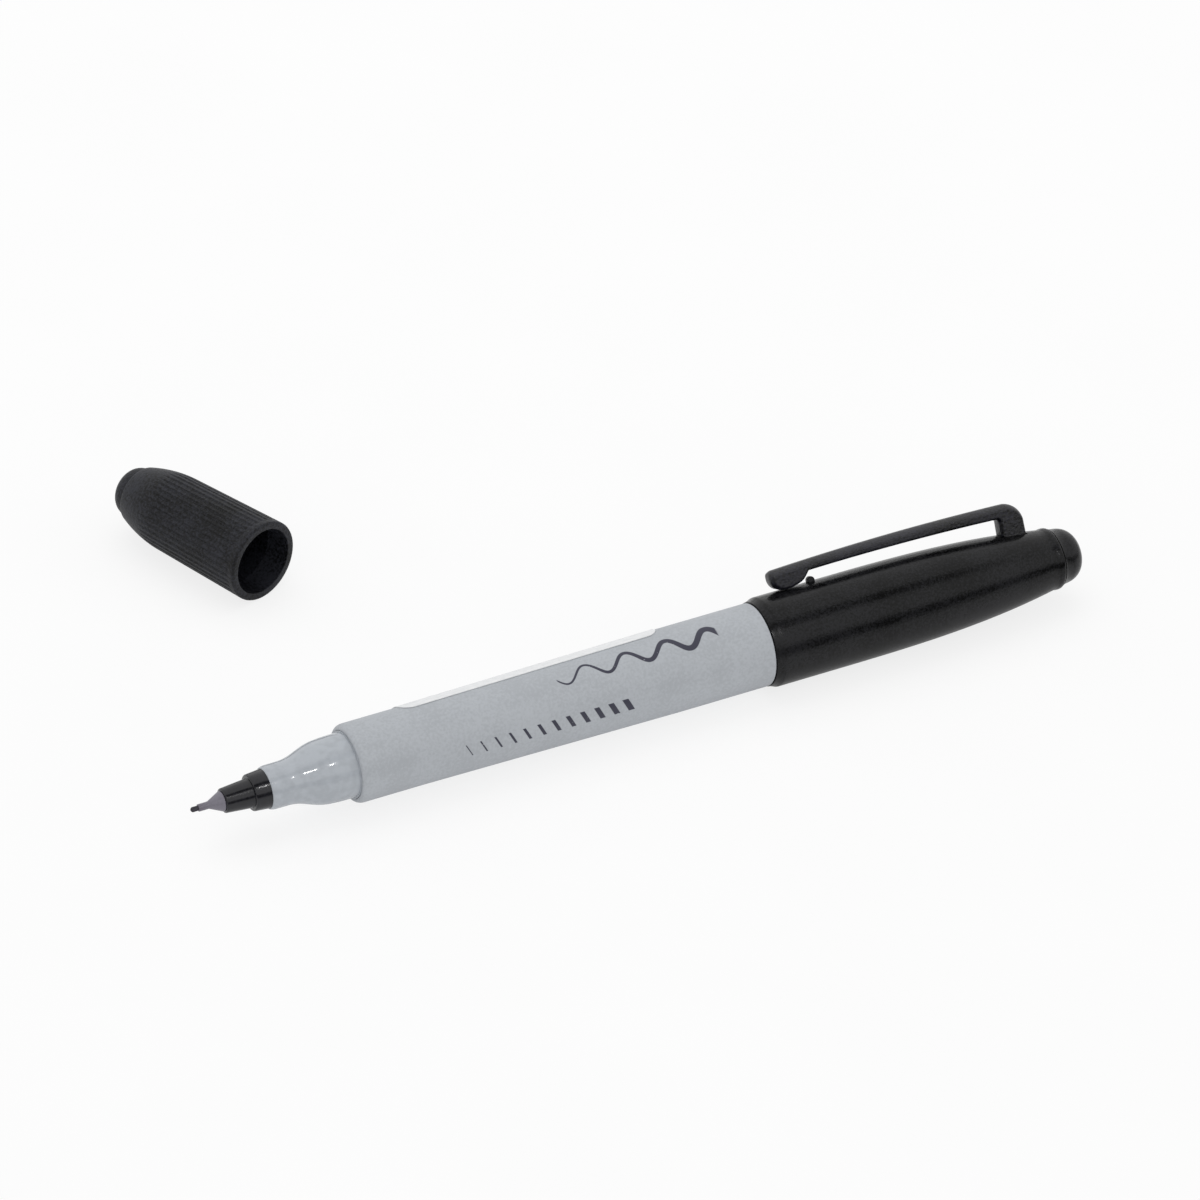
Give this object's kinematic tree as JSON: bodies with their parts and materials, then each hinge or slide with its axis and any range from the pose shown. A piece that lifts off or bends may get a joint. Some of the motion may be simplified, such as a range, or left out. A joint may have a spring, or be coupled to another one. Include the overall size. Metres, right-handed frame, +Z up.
{
  "type": "double-ended marker",
  "caption": "Double-ended permanent marker: bullet nib under a long clip cap, ultra fine needle tip with its ribbed cap lying beside the grey barrel",
  "frame": {"origin": "on the marker's axis, at the middle of the straight rear stretch of the barrel (the barrel_grip mount)", "axes": "+X runs along the marker from the ultra fine tip to the large cap, +Z is up from the table, and the small cap lies on the +Y side"},
  "size_m": [0.1372, 0.0835, 0.0157],
  "materials": {
    "barrel_plastic": "satin grey moulding",
    "nose_plastic": "polished grey moulding",
    "holder_plastic": "polished black moulding",
    "ferrule_plastic": "grey moulding stained by ink",
    "nib_fibre": "pressed fibre soaked with ink",
    "core_fibre": "bonded fibre",
    "wrap_film": "thin film",
    "label_paper": "coated label",
    "ribbed_plastic": "fine spark-textured black moulding",
    "cap_plastic": "polished black moulding",
    "clip_plastic": "satin black moulding"
  },
  "bodies": {
    "marker": {"barrel": "barrel_plastic", "ultra_fine_section": "nose_plastic", "ultra_fine_holder": "holder_plastic", "ultra_fine_ferrule": "ferrule_plastic", "ultra_fine_nib": "nib_fibre", "fine_section": "nose_plastic", "fine_nib": "nib_fibre", "ink_core": "core_fibre", "core_wrap": "wrap_film", "barrel_sticker": "label_paper"},
    "clip_cap": {"large_cap": "cap_plastic", "large_cap_liner": "cap_plastic"},
    "pocket_clip": {"clip": "clip_plastic"},
    "ribbed_cap": {"small_cap": "ribbed_plastic", "small_cap_liner": "ribbed_plastic"}
  },
  "joints": [
    {"name": "large_cap_pull", "type": "slide", "parent": "marker", "child": "clip_cap", "axis": [1, 0, 0], "range_m": [0, 0.04]},
    {"name": "clip_flex", "type": "hinge", "parent": "clip_cap", "child": "pocket_clip", "pos_m": [0.0503, 0.0021, 0.0043], "axis": [0, 0.8988, -0.4384], "range_deg": [0, 5], "stiffness_Nm_per_rad": 0.3},
    {"name": "small_cap_slide", "type": "slide", "parent": "marker", "child": "ribbed_cap", "axis": [-0.3256, 0.9455, 0], "range_m": [0, 0.02]}
  ]
}
